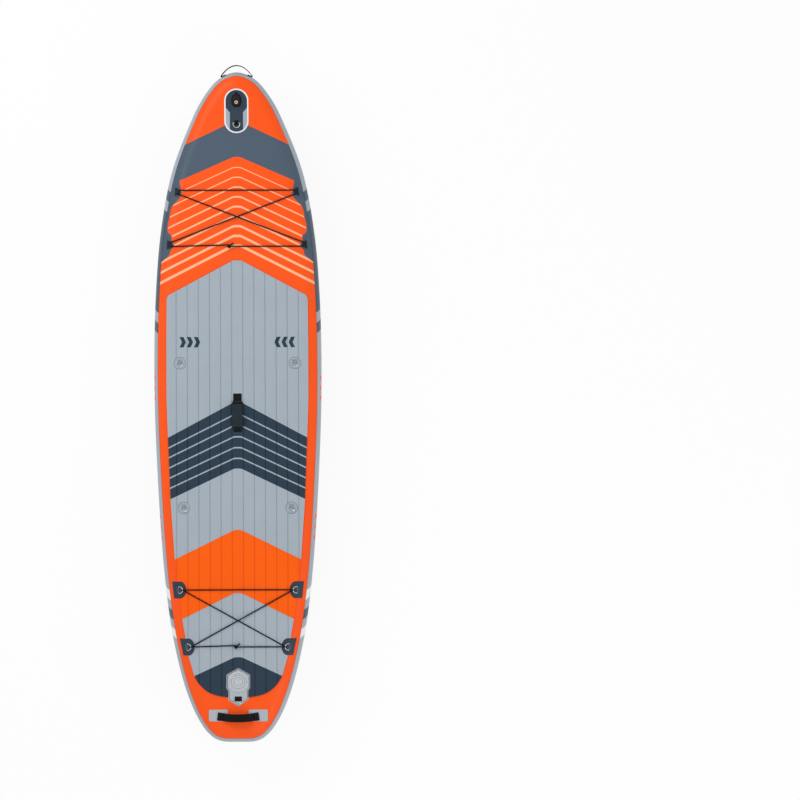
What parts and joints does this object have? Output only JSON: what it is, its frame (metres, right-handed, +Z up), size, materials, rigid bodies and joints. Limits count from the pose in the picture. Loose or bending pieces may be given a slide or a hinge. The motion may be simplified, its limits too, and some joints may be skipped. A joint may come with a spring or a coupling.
{
  "type": "inflatable stand-up paddle board",
  "caption": "Inflatable stand-up paddle board with grooved deck pad, handles, tow and seat rings, deck bungees, air valve and three slide-in fins.",
  "frame": {"origin": "bottom centre of the whole box, on the floor plane that the centre fin's tip touches when the board is held level with its deck up", "axes": "+X towards the nose, +Y to port, +Z up out of the deck; the board is stored level"},
  "size_m": [3.2338, 0.8008, 0.4111],
  "materials": {
    "brass_insert": "machined",
    "cord_black": "braided elastic cord",
    "drop_stitch_fabric": "woven polyester",
    "eva_light_grey": "brushed EVA foam, grooved",
    "eva_orange": "brushed EVA foam, grooved",
    "eva_slate": "brushed EVA foam, grooved",
    "fin_black": "semi-gloss moulded",
    "moulded_black": "moulded",
    "moulded_grey": "moulded",
    "neoprene_black": "padded neoprene",
    "patch_light_grey": "satin coated PVC",
    "patch_slate": "satin coated PVC",
    "pvc_light_grey": "satin coated PVC",
    "pvc_orange": "satin coated PVC",
    "pvc_slate": "satin coated PVC",
    "seal_rubber": "moulded rubber",
    "stainless_steel": "polished stainless steel",
    "webbing_black": "woven webbing"
  },
  "bodies": {
    "leash_d_ring": {"leash_d_ring": "stainless_steel"},
    "nose_d_ring": {"nose_d_ring": "stainless_steel"},
    "seat_d_ring_front_port": {"seat_d_ring_front_port": "stainless_steel"},
    "seat_d_ring_front_starboard": {"seat_d_ring_front_starboard": "stainless_steel"},
    "seat_d_ring_rear_port": {"seat_d_ring_rear_port": "stainless_steel"},
    "seat_d_ring_rear_starboard": {"seat_d_ring_rear_starboard": "stainless_steel"},
    "center_fin": {"center_fin": "fin_black"},
    "port_fin": {"port_fin": "fin_black"},
    "starboard_fin": {"starboard_fin": "fin_black"},
    "valve_cap": {"valve_cap": "moulded_grey"},
    "valve_plunger": {"valve_plunger": "moulded_grey", "valve_diaphragm": "seal_rubber"},
    "board": {"bottom_skin": "pvc_slate", "camera_mount_base": "moulded_black", "camera_mount_insert": "brass_insert", "carry_handle_grip": "neoprene_black", "carry_handle_strap": "webbing_black", "center_fin_box": "moulded_black", "center_fin_patch": "patch_light_grey", "deck_skin": "pvc_orange", "drop_stitch_core": "drop_stitch_fabric", "front_anchor_front_port": "moulded_black", "front_anchor_front_starboard": "moulded_black", "front_anchor_rear_port": "moulded_black", "front_anchor_rear_starboard": "moulded_black", "front_bungee": "cord_black", "nose_handle_strap": "webbing_black", "nose_patch": "patch_slate", "pad_chevron_slate": "eva_slate", "pad_front_grey": "eva_light_grey", "pad_kick_slate": "eva_slate", "pad_mid_grey": "eva_light_grey", "pad_orange": "eva_orange", "pad_rear_grey": "eva_light_grey", "port_fin_box": "moulded_black", "port_fin_patch": "patch_slate", "rear_bungee": "cord_black", "rear_d_ring_front_port": "stainless_steel", "rear_d_ring_front_starboard": "stainless_steel", "rear_d_ring_rear_port": "stainless_steel", "rear_d_ring_rear_starboard": "stainless_steel", "rear_ring_patch_front_port": "patch_slate", "rear_ring_patch_front_starboard": "patch_slate", "rear_ring_patch_rear_port": "patch_slate", "rear_ring_patch_rear_starboard": "patch_slate", "seat_ring_patch_front_port": "patch_light_grey", "seat_ring_patch_front_starboard": "patch_light_grey", "seat_ring_patch_rear_port": "patch_light_grey", "seat_ring_patch_rear_starboard": "patch_light_grey", "side_band": "pvc_light_grey", "starboard_fin_box": "moulded_black", "starboard_fin_patch": "patch_slate", "tail_handle_patch_port": "patch_light_grey", "tail_handle_patch_starboard": "patch_light_grey", "tail_handle_strap": "webbing_black", "valve_body": "moulded_grey", "valve_nut": "moulded_grey", "valve_patch": "patch_light_grey", "valve_spring": "stainless_steel"}
  },
  "joints": [
    {"name": "leash_d_ring_hinge", "type": "hinge", "parent": "board", "child": "leash_d_ring", "pos_m": [-1.40681, 0, 0.35805], "axis": [0, 1, 0], "range_deg": [0, 150]},
    {"name": "nose_d_ring_hinge", "type": "hinge", "parent": "board", "child": "nose_d_ring", "pos_m": [1.33959, 0, 0.37561], "axis": [0, 1, 0], "range_deg": [0, 150]},
    {"name": "seat_d_ring_front_port_hinge", "type": "hinge", "parent": "board", "child": "seat_d_ring_front_port", "pos_m": [0.20094, 0.27473, 0.34741], "axis": [0, 1, 0], "range_deg": [0, 150]},
    {"name": "seat_d_ring_front_starboard_hinge", "type": "hinge", "parent": "board", "child": "seat_d_ring_front_starboard", "pos_m": [0.20094, -0.27473, 0.34741], "axis": [0, 1, 0], "range_deg": [0, 150]},
    {"name": "seat_d_ring_rear_port_hinge", "type": "hinge", "parent": "board", "child": "seat_d_ring_rear_port", "pos_m": [-0.48992, 0.25701, 0.34871], "axis": [0, 1, 0], "range_deg": [0, 150]},
    {"name": "seat_d_ring_rear_starboard_hinge", "type": "hinge", "parent": "board", "child": "seat_d_ring_rear_starboard", "pos_m": [-0.48992, -0.25701, 0.34871], "axis": [0, 1, 0], "range_deg": [0, 150]},
    {"name": "center_fin_slide", "type": "slide", "parent": "board", "child": "center_fin", "axis": [0.9999, 0, -0.0166], "range_m": [0, 0.16]},
    {"name": "port_fin_slide", "type": "slide", "parent": "board", "child": "port_fin", "axis": [1, 0, -0.0085], "range_m": [0, 0.145]},
    {"name": "starboard_fin_slide", "type": "slide", "parent": "board", "child": "starboard_fin", "axis": [1, 0, -0.0085], "range_m": [0, 0.145]},
    {"name": "valve_cap_turn", "type": "hinge", "parent": "board", "child": "valve_cap", "pos_m": [-1.3249, 0, 0.3523], "axis": [0.0182, 0, 0.9998], "range_deg": [0, 90]},
    {"name": "valve_plunger_press", "type": "slide", "parent": "board", "child": "valve_plunger", "axis": [-0.0182, 0, -0.9998], "range_m": [0, 0.0045], "stiffness_N_per_m": 900, "springref_m": -0.003, "deforming": ["valve_spring"]}
  ]
}
